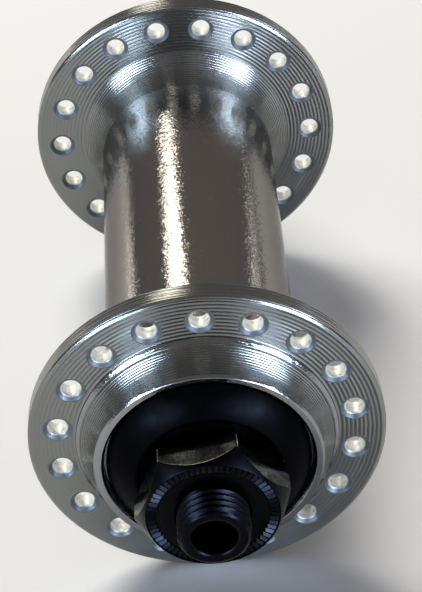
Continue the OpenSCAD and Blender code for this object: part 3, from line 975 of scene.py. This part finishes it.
def make_tooth(side):
    """One radial tooth of the nut's face, a ridge with leaning ends and a foot sunk into the nut."""
    half = math.pi / TEETH * TOOTH_SHARE
    inner, outer = TOOTH_RING
    sunk = TOOTH_FOOT - TOOTH_SUNK
    points = []
    for radius, tip in ((inner, inner + 0.12), (outer, outer - 0.1)):
        points += [place(radius, sunk, -half, side), place(radius, TOOTH_FOOT, -half, side),
                   place(tip, NUT_FACE, 0.0, side), place(radius, TOOTH_FOOT, half, side),
                   place(radius, sunk, half, side)]
    faces = [(0, 1, 2, 3, 4), (9, 8, 7, 6, 5)]
    faces += [(k, (k + 1) % 5, 5 + (k + 1) % 5, 5 + k) for k in range(5)]
    mesh = bpy.data.meshes.new("tooth")
    mesh.from_pydata(points, [], faces)
    outward(mesh)
    return mesh


def make_lock_nut(name, side):
    """A nut's hexagon with columns of points crowded at its corners, and the teeth on its face."""
    turn = math.radians(NUT_TURN[name])
    from_corner = [0.5, 1.05, 1.4, 3.0, 5.5, 8.5, 12.0, 16.0, 20.0, 25.0]
    offsets = [-a for a in from_corner[::-1]] + [0.0] + from_corner + [30.0]
    angles = [turn + math.radians(30 + 60 * k + a) for k in range(6) for a in offsets]
    body = columns("nut_body", lambda angle: nut_outline(angle - turn), angles, side)
    teeth = grown("nut_teeth", make_tooth(side), AROUND, Copies=TEETH, First_Turn=0.0, Weld=0.0,
                  Finish=OXIDE)
    body.materials.append(OXIDE)
    body.materials.append(FLATS)
    for face in body.polygons:
        middle = face.center / MM
        on_side = abs(face.normal.y) < 0.1
        if on_side and math.hypot(middle.x, middle.z) > NUT_FACE_R:
            face.material_index = 1
    mesh = joined(name + "_lock_nut_dressed", [body, teeth])
    smooth(mesh, 32)
    return piece_of(name + "_lock_nut_dressed", mesh)


# Dust cap and lock washer
def turned_piece(name, corners, side, finish, segments=192):
    """A piece with one finish, its closed outline through the corners turned about the axle."""
    mesh = turned(name, rounded(corners, closed=True), side, segments)
    mesh.materials.append(finish)
    smooth(mesh)
    return piece_of(name, mesh)


def make_dust_cap(name, side):
    """A domed cap with a web that reaches in under its hole."""
    inside = CAP_R - CAP_WALL
    neck = CAP_HOLE_R + CAP_WALL
    dome = arc((CAP_R, CAP_EDGE), (CAP_CROWN_R, CAP_CROWN), CAP_DOME_R, 22)
    under = arc((neck, CAP_CROWN - 1.1), (inside, CAP_EDGE - 0.25), CAP_DOME_R - CAP_WALL, 6)
    outline = [(inside, CAP_FOOT, 0.08), (CAP_R, CAP_FOOT, 0.08), (CAP_R, CAP_EDGE, 0.14)]
    outline += [(r, s, 0) for r, s in dome[1:-1]]
    outline += [(CAP_CROWN_R, CAP_CROWN, 0.16), (CAP_HOLE_R, CAP_CROWN, 0.12),
                (CAP_HOLE_R, CAP_WEB_FRONT, 0.15), (CAP_BORE_R, CAP_WEB_FRONT, 0.05),
                (CAP_BORE_R, CAP_WEB_BACK, 0.05), (neck, CAP_WEB_BACK, 0.1)]
    outline += [(r, s, 0) for r, s in under]
    return turned_piece(name + "_dust_cap_dressed", outline, side, CAP)


def make_lock_washer(name, side):
    """A flat washer between cone and nut, bevelled round both faces."""
    flat = WASHER_R - WASHER_BEVEL
    outline = [(WASHER_BORE_R, WASHER_BACK, 0.05), (flat, WASHER_BACK, 0.06),
               (WASHER_R, WASHER_BACK + WASHER_BEVEL, 0.06), (WASHER_R, NUT_BACK - WASHER_BEVEL, 0.06),
               (flat, NUT_BACK, 0.06), (WASHER_BORE_R, NUT_BACK, 0.05)]
    return turned_piece(name + "_lock_washer_dressed", outline, side, OXIDE, 128)


def dress(piece, node, body):
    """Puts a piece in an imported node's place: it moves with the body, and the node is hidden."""
    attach(piece, body)
    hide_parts(node)


dress(make_hub_shell(), "hub_shell", "shell")
dress(make_axle(), "axle", "axle_set")
for name, side in SIDES.items():
    dress(make_dust_cap(name, side), name + "_dust_cap", "axle_set")
    dress(make_lock_nut(name, side), name + "_lock_nut", "axle_set")
    dress(make_lock_washer(name, side), name + "_lock_washer", "axle_set")

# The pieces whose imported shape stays, with their finishes
KEPT = {"bearing_cup": BEARING_STEEL, "ball_retainer": RETAINER, "cone": CONE_STEEL,
        "grease_shield": SHIELD, "seal_ring": RUBBER}


def finish_kept():
    """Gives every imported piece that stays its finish."""
    for node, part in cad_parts.items():
        kind = node.partition("_")[2]
        finish = KEPT.get(kind) or (BALL if kind.startswith("ball_") else None)
        if finish:
            for slot in part.material_slots:
                slot.material = finish


finish_kept()


# Floor, light and camera. Lengths of the floor and the lamps are in metres.
FLOOR_HALF = 4.0
ROOM_TURN = 0.35
ROOM_COLOURS = ((0.21, 0.205, 0.2), (0.22, 0.2, 0.19))


def make_floor(height):
    """A square of pale paper under the hub."""
    mesh = bpy.data.meshes.new("floor")
    corners = [(x * FLOOR_HALF, y * FLOOR_HALF, height) for x, y in ((-1, -1), (1, -1), (1, 1), (-1, 1))]
    mesh.from_pydata(corners, [], [(0, 1, 2, 3)])
    finish = Finish("floor_paper", (0.87, 0.875, 0.89), 0.7, metallic=0.0)
    grain = finish.group(GRAIN, Grain_Size=2.0, Patch_Size=400.0)
    finish.tint(grain["Patch"], (0.85, 0.855, 0.87), 0.5)
    mesh.materials.append(finish.made)
    piece_of("floor", mesh)


def lamp(name, spot, wide, high, brightness, colour, on_gloss=True, on_dull=True):
    """A rectangular lamp that faces the hub. Brightness is how bright it looks, where 1 is white. It can
    be left out of reflections (on_gloss) or of the light on matt surfaces (on_dull)."""
    data = bpy.data.lights.new(name, "AREA")
    data.shape = "RECTANGLE"
    data.size, data.size_y = wide, high
    data.energy = 4.0 * wide * high * brightness
    data.color = colour
    item = bpy.data.objects.new(name, data)
    bpy.context.scene.collection.objects.link(item)
    item.location = spot
    item.rotation_mode = "QUATERNION"
    item.rotation_quaternion = (-Vector(spot)).to_track_quat("-Z", "Y")
    item.visible_glossy = on_gloss
    item.visible_diffuse = on_dull


def toward(azimuth, height, distance):
    """A place seen from the hub: azimuth 0 is straight behind it and grows to the right, height is
    above level, both in degrees."""
    a, h = math.radians(azimuth), math.radians(height)
    return Vector((math.sin(a) * math.cos(h), math.cos(a) * math.cos(h), math.sin(h))) * distance


def make_lamps():
    """Three strips that draw the barrel's streaks, two windows that only glint, and the lamp over the
    table, which lights without a reflection."""
    lamp("ceiling_strip", toward(-18.5, 45, 1.2), 0.19, 0.62, 7.5, (1.0, 0.95, 0.82))
    lamp("left_strip", toward(-40.8, 4, 1.2), 0.03, 0.14, 8.0, (1.0, 0.93, 0.78))
    lamp("right_strip", toward(39.9, 10.4, 1.2), 0.02, 0.16, 8.0, (1.0, 0.97, 0.92))
    lamp("left_window", toward(-142, 18, 1.3), 0.62, 0.34, 33.0, (0.60, 0.79, 1.06), on_dull=False)
    lamp("right_window", toward(142, 18, 1.3), 0.62, 0.34, 45.0, (0.64, 0.79, 1.06), on_dull=False)
    lamp("table_lamp", toward(-26, 44, 2.8), 1.68, 1.68, 6.5, (1.0, 1.0, 0.97), on_gloss=False)


def make_room():
    """A dim grey room all round, a little warmer from ROOM_TURN upwards, where 1 is straight up."""
    world = bpy.context.scene.world or bpy.data.worlds.new("room")
    bpy.context.scene.world = world
    world.use_nodes = True
    tree = world.node_tree
    walls = tree.nodes["Background"]
    walls.inputs["Strength"].default_value = 1.0
    look = tree.nodes.new("ShaderNodeTexCoord")
    split = tree.nodes.new("ShaderNodeSeparateXYZ")
    ramp = tree.nodes.new("ShaderNodeValToRGB")
    link(tree, look.outputs["Generated"], split.inputs[0])
    link(tree, split.outputs["Z"], ramp.inputs["Fac"])
    for stop, position, colour in zip(ramp.color_ramp.elements, (0.0, ROOM_TURN), ROOM_COLOURS):
        stop.position = position
        stop.color = (*colour, 1.0)
    link(tree, ramp.outputs["Color"], walls.inputs["Color"])


# The photograph's camera: angles in degrees, offsets and distance in millimetres, focal length in
# pixels. The sensor's width spans the picture's longer side.
CAMERA_AZIMUTH = -0.473
CAMERA_HEIGHT = 38.12
CAMERA_ROLL = -3.83
CAMERA_ACROSS = 2.197
CAMERA_UP = -4.186
CAMERA_AWAY = 282.25
FOCAL_PIXELS = 2007.6
PICTURE_PIXELS = 592.0
SENSOR = 36.0


def make_camera():
    """The camera at the photograph's place."""
    azimuth, height, roll = (math.radians(a) for a in (CAMERA_AZIMUTH, CAMERA_HEIGHT, CAMERA_ROLL))
    low = math.cos(height)
    back = Vector((math.sin(azimuth) * low, -math.cos(azimuth) * low, math.sin(height)))
    level = (-back).cross(Vector((0, 0, 1))).normalized()
    upright = level.cross(-back)
    right = math.cos(roll) * level + math.sin(roll) * upright
    up = -math.sin(roll) * level + math.cos(roll) * upright
    data = bpy.data.cameras.new("camera")
    data.sensor_width = SENSOR
    data.lens = FOCAL_PIXELS * SENSOR / PICTURE_PIXELS
    data.clip_start, data.clip_end = 0.01, 20.0
    item = bpy.data.objects.new("camera", data)
    bpy.context.scene.collection.objects.link(item)
    turn = Matrix((right, up, back)).transposed().to_4x4()
    spot = back * CAMERA_AWAY + right * CAMERA_ACROSS + up * CAMERA_UP
    item.matrix_world = Matrix.Translation(spot * MM) @ turn
    bpy.context.scene.camera = item


make_floor(CAD_BOX[0].z)
make_lamps()
make_room()
make_camera()
bpy.context.scene.view_settings.view_transform = "Standard"
